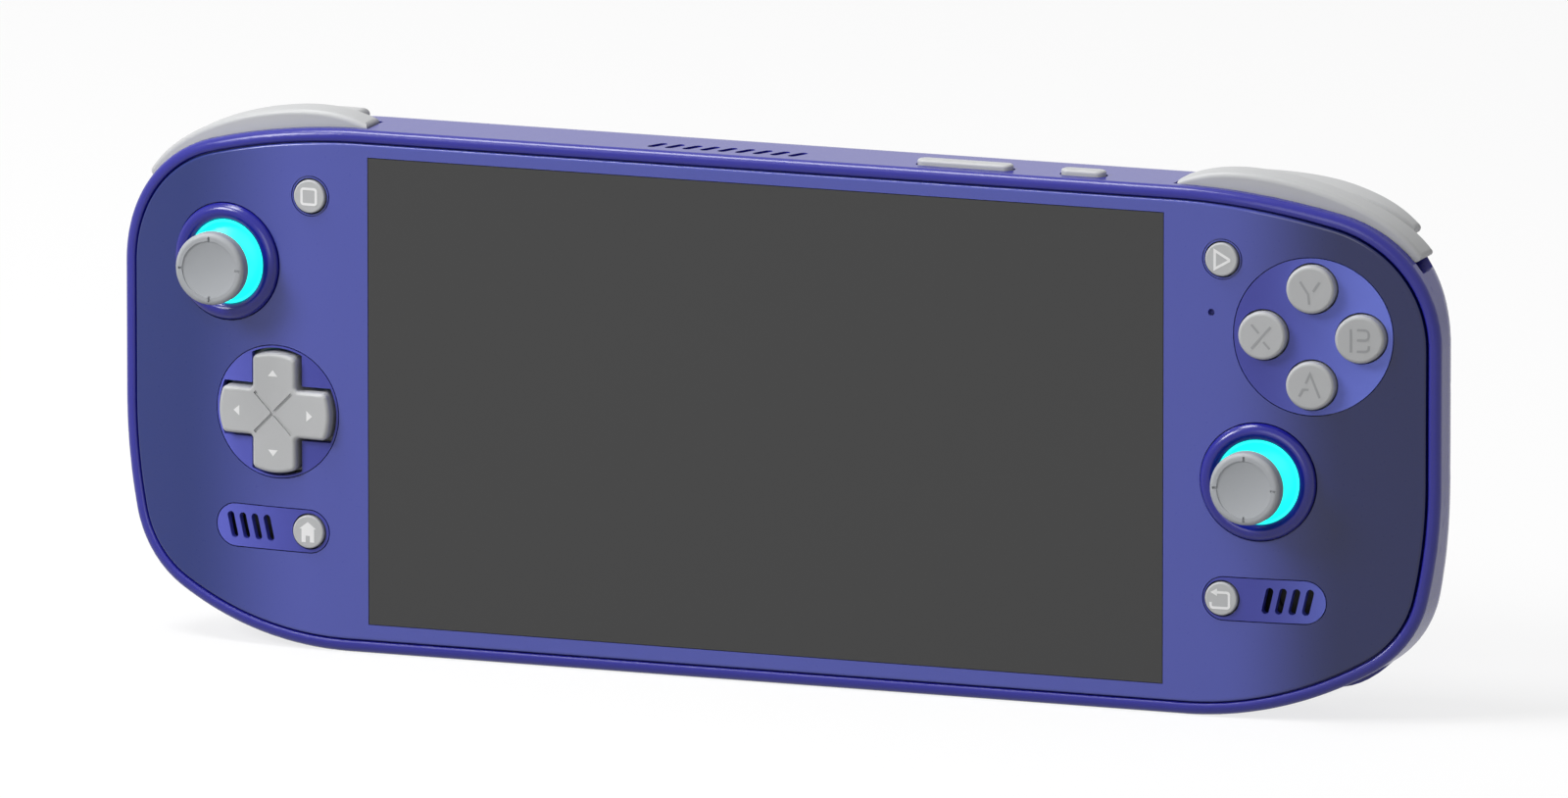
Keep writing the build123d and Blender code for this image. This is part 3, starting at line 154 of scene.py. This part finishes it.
BY_SLOT = {
    "case": shell,
    "panel": panel,
    "plates": plates,
    "glow": glow,
    "stick_cap": cap,
    "glass": screen,
    "screen": module,
    "keys": keys,
    "metal": metal,
    "boards": board,
    "contact_sheets": sheets,
    "black_plastic": black,
    "heat_sink": sink,
}
for part in frame["record"]["subparts"]:
    node = nodes[part["node"]]
    node.data.materials.clear()
    node.data.materials.append(BY_SLOT[part["material_slot"]])
for side in ("left", "right"):
    nodes[f"{side}_collar"].data.materials[0] = collars


def key_basis(x, z, proud):
    """Middle, across and up vectors of a flat top that leans with the face, in metres."""
    beyond = max(abs(x) - FLAT_HALF, 0)
    turn = math.asin(beyond / FACE_RADIUS)
    side = 1 if x > 0 else -1
    drop = FACE_RADIUS - math.sqrt(FACE_RADIUS**2 - beyond**2)
    normal = Vector((side * math.sin(turn), -math.cos(turn), 0))
    across = Vector((math.cos(turn), side * math.sin(turn), 0))
    middle = Vector((x, FACE_Y + drop, SCREEN_Z + z)) + normal * proud
    return middle * MM, across * MM, Vector((0, 0, 1)) * MM, normal * MM


# How far a mark lies above its key, and each layer of it above the one below
LIFT = 0.03
LAYER = 0.004


def flat_mark(name, body, key, shapes, material):
    """Thin flat shapes on a key's top, in millimetres. Shapes that cross lie one above the other."""
    middle, across, up, normal = key
    points, faces = [], []
    for layer, polygons in enumerate(shapes):
        height = LIFT + LAYER * layer
        for polygon in polygons:
            start = len(points)
            points += [middle + across * a + up * b + normal * height for a, b in polygon]
            faces.append(list(range(start, start + len(polygon))))
    mesh = bpy.data.meshes.new(name)
    mesh.from_pydata(points, [], faces)
    mesh.materials.append(material)
    mark = bpy.data.objects.new(name, mesh)
    scene.collection.objects.link(mark)
    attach(mark, body)
    return mark


def ribbon(line, width, closed=False):
    """Four-sided pieces of a line drawn with a flat pen, mitred where it turns."""
    count = len(line)
    sides = []
    for i in range(count):
        before = line[i - 1] if closed or i > 0 else None
        after = line[(i + 1) % count] if closed or i < count - 1 else None
        normals = []
        for start, stop in ((before, line[i]), (line[i], after)):
            if start and stop:
                length = math.hypot(stop[0] - start[0], stop[1] - start[1])
                normals.append(((start[1] - stop[1]) / length, (stop[0] - start[0]) / length))
        nx = sum(n[0] for n in normals) / len(normals)
        ny = sum(n[1] for n in normals) / len(normals)
        reach = width / 2 / (nx * nx + ny * ny)
        x, y = line[i]
        sides.append(((x + nx * reach, y + ny * reach), (x - nx * reach, y - ny * reach)))
    if closed:
        sides.append(sides[0])
    return [[a, b, d, c] for (a, b), (c, d) in zip(sides, sides[1:])]


def arc(cx, cy, radius, start, end, steps=6):
    """Points on an arc, angles in degrees."""
    turns = [math.radians(start + (end - start) * i / steps) for i in range(steps + 1)]
    return [(cx + radius * math.cos(t), cy + radius * math.sin(t)) for t in turns]


def turned(line, quarter):
    """A line turned by quarters of a turn."""
    c, s = math.cos(math.radians(90 * quarter)), math.sin(math.radians(90 * quarter))
    return [(a * c - b * s, a * s + b * c) for a, b in line]


# How far the tops of the keys stand above the face, and the widths of the pens
SMALL_PROUD = 0.5
ACTION_PROUD = 1.15
DPAD_PROUD = 1.3
ICON_PEN = 0.38
LETTER_PEN = 0.33
square = [point for quarter in range(4) for point in turned(arc(0.8, 0.8, 0.33, 0, 90), quarter)]
pointed = [(-0.94, 1.3), (-0.94, -1.35), (1.2, -0.12), (1.2, 0.08)]
hook = [(-0.6, 0.95)] + arc(0.9, 0.6, 0.35, 90, 0) + arc(0.9, -0.95, 0.35, 0, -90)
hook += arc(-1.15, -0.95, 0.35, -90, -180) + [(-1.5, -0.5)]
house = [
    [(-1.35, 0.45), (1.35, 0.45), (0, 1.5)],
    [(-1.0, 0.45), (-1.0, -1.5), (-0.32, -1.5), (-0.32, 0.45)],
    [(0.32, 0.45), (0.32, -1.5), (1.0, -1.5), (1.0, 0.45)],
    [(-0.32, 0.45), (-0.32, -0.55), (0.32, -0.55), (0.32, 0.45)],
]
arrow_head = [(-1.55, 0.95), (-0.55, 0.4), (-0.55, 1.5)]
ICONS = {
    "capture_button": (-69.9, 28.1, [ribbon(square, ICON_PEN, closed=True)]),
    "start_button": (69.8, 28.1, [ribbon(pointed, ICON_PEN, closed=True)]),
    "home_button": (-70.2, -21.25, [house]),
    "back_button": (69.9, -21.25, [ribbon(hook, ICON_PEN) + [arrow_head]]),
}
for body, (x, z, shapes) in ICONS.items():
    flat_mark(f"{body}_mark", body, key_basis(x, z, SMALL_PROUD), shapes, marks)
LETTERS = {
    "button_y": (83.0, 24.45, [[(-1.57, 1.19), (-0.4, -0.58), (-0.23, -2.1)], [(1.24, 1.19), (0.3, -0.21)]]),
    "button_a": (
        83.0,
        10.45,
        [[(-0.72, 0.42), (-0.07, 1.82), (1.33, -1.63)], [(-1.66, -1.49), (-1.12, -0.47), (-0.26, -0.47)]],
    ),
    "button_x": (
        76.0,
        17.45,
        [[(1.27, 1.4), (-1.55, -1.87)], [(-1.55, 1.63), (-0.45, 0.4)], [(0.21, -0.82), (1.15, -1.82)]],
    ),
    "button_b": (
        90.0,
        17.45,
        [
            [(-1.39, 1.54), (-1.39, -1.84)],
            [(-0.5, 1.42)] + arc(0.6, 0.84, 0.58, 90, 0) + arc(0.6, 0.53, 0.58, 0, -90) + [(-0.5, -0.05)],
            [(1.2, -0.84)] + arc(0.65, -1.13, 0.55, 0, -90) + [(-0.5, -1.68)],
        ],
    ),
}
for body, (x, z, lines) in LETTERS.items():
    shapes = [ribbon(line, LETTER_PEN) for line in lines]
    flat_mark(f"{body}_letter", body, key_basis(x, z, ACTION_PROUD), shapes, letters)
pointer = [(-0.78, 5.4), (0.78, 5.4), (0, 6.35)]
pointers = [turned(pointer, quarter) for quarter in range(4)]
flat_mark("dpad_marks", "dpad_cross", key_basis(-75.3, -4.0, DPAD_PROUD), [pointers], marks)

# Camera, solved from the photo's straight edges
azimuth = math.radians(20.44)
elevation = math.radians(11.01)
distance = 4.2107
TARGET_X = 3.13
TARGET_RISE = 3.27
target = Vector((TARGET_X, FACE_Y, SCREEN_Z + TARGET_RISE)) * MM
level = math.cos(elevation)
back = Vector((math.sin(azimuth) * level, -math.cos(azimuth) * level, math.sin(elevation)))
camera_data = bpy.data.cameras.new("camera")
camera_data.lens = 673.07
camera_data.sensor_width = 36
camera_data.clip_start = 0.1
camera_data.clip_end = 30
camera = bpy.data.objects.new("camera", camera_data)
camera.location = target + back * distance
camera.rotation_mode = "QUATERNION"
camera.rotation_quaternion = (-back).to_track_quat("-Z", "Y")
scene.collection.objects.link(camera)
scene.camera = camera

# White world and floor. SHADOW_SHARE is how much of the floor shows the light on it.
SHADOW_SHARE = 0.22
FLOOR_GREY = 0.25
FLOOR_SIZE = 12
FLOOR_DROP = 0.00002
world = bpy.data.worlds.new("studio")
scene.world = world
world.use_nodes = True
wtree = world.node_tree
fill = wtree.nodes["Background"]
fill.inputs["Strength"].default_value = 1.0
sky = wtree.nodes.new("ShaderNodeTexCoord")
sky_split = wtree.nodes.new("ShaderNodeSeparateXYZ")
sky_ramp = wtree.nodes.new("ShaderNodeMapRange")
sky_ramp.interpolation_type = "SMOOTHSTEP"
sky_ramp.inputs["From Min"].default_value = 0.05
sky_ramp.inputs["From Max"].default_value = 0.9
sky_ramp.inputs["To Min"].default_value = 0.05
sky_ramp.inputs["To Max"].default_value = 0.5
wtree.links.new(sky.outputs["Generated"], sky_split.inputs["Vector"])
wtree.links.new(sky_split.outputs["Z"], sky_ramp.inputs["Value"])
wtree.links.new(sky_ramp.outputs["Result"], fill.inputs["Color"])
white = wtree.nodes.new("ShaderNodeBackground")
white.inputs["Color"].default_value = (1, 1, 1, 1)
white.inputs["Strength"].default_value = 1.0
blend = wtree.nodes.new("ShaderNodeMixShader")
wtree.links.new(background_rays(wtree), blend.inputs["Fac"])
wtree.links.new(fill.outputs["Background"], blend.inputs[1])
wtree.links.new(white.outputs["Background"], blend.inputs[2])
wtree.links.new(blend.outputs["Shader"], wtree.nodes["World Output"].inputs["Surface"])

floor_mat = bpy.data.materials.new("floor")
floor_mat.use_nodes = True
ftree = floor_mat.node_tree
matt = ftree.nodes["Principled BSDF"]
matt.inputs["Base Color"].default_value = (FLOOR_GREY, FLOOR_GREY, FLOOR_GREY, 1)
matt.inputs["Roughness"].default_value = 0.9
glowing = ftree.nodes.new("ShaderNodeEmission")
glowing.inputs["Color"].default_value = (1, 1, 1, 1)
glowing.inputs["Strength"].default_value = 1.0
lit = ftree.nodes.new("ShaderNodeBsdfDiffuse")
lit.inputs["Color"].default_value = (0.9, 0.9, 0.9, 1)
plain = ftree.nodes.new("ShaderNodeMixShader")
plain.inputs["Fac"].default_value = SHADOW_SHARE
ftree.links.new(glowing.outputs["Emission"], plain.inputs[1])
ftree.links.new(lit.outputs["BSDF"], plain.inputs[2])
fblend = ftree.nodes.new("ShaderNodeMixShader")
ftree.links.new(background_rays(ftree), fblend.inputs["Fac"])
ftree.links.new(matt.outputs["BSDF"], fblend.inputs[1])
ftree.links.new(plain.outputs["Shader"], fblend.inputs[2])
ftree.links.new(fblend.outputs["Shader"], ftree.nodes["Material Output"].inputs["Surface"])
bpy.ops.mesh.primitive_plane_add(size=FLOOR_SIZE, location=(0, 0, -FLOOR_DROP))
floor = bpy.context.object
floor.name = "floor"
floor.data.materials.append(floor_mat)


LIGHTS_AIM = (0, 0, 0.04)


def area_light(name, place, size, power):
    """A square soft light that points at the console."""
    data = bpy.data.lights.new(name, "AREA")
    data.size = size
    data.energy = power
    light = bpy.data.objects.new(name, data)
    light.location = place
    light.rotation_mode = "QUATERNION"
    light.rotation_quaternion = (Vector(LIGHTS_AIM) - Vector(place)).to_track_quat("-Z", "Y")
    scene.collection.objects.link(light)


area_light("key", (-1.0, -0.9, 0.95), 0.5, 15)
area_light("top", (-0.45, -0.22, 1.2), 0.4, 8)
area_light("front", (0.3, -1.9, 0.5), 1.0, 6.5)
